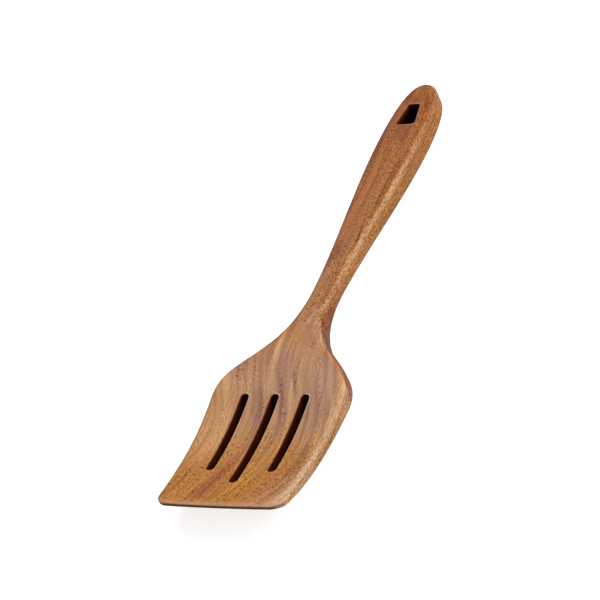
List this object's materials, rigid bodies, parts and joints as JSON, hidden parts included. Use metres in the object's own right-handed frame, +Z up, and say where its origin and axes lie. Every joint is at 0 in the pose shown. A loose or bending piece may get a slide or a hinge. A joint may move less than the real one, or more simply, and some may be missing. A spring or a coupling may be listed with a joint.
{
  "type": "slotted spatula",
  "caption": "Slotted wooden turner: a broad scooped blade with long slots, a narrow neck and a rounded handle with a hanging hole.",
  "frame": {"origin": "middle of the length and width, on the surface that the turner lies on, blade scoop upwards", "axes": "+Y from the tip of the blade to the end of the handle, +Z up out of the scooped face, +X across the blade"},
  "size_m": [0.0842, 0.34, 0.0165],
  "materials": {
    "oiled_hardwood": "sanded and oiled hardwood, satin"
  },
  "bodies": {
    "root": {"spatula": "oiled_hardwood"}
  },
  "joints": []
}
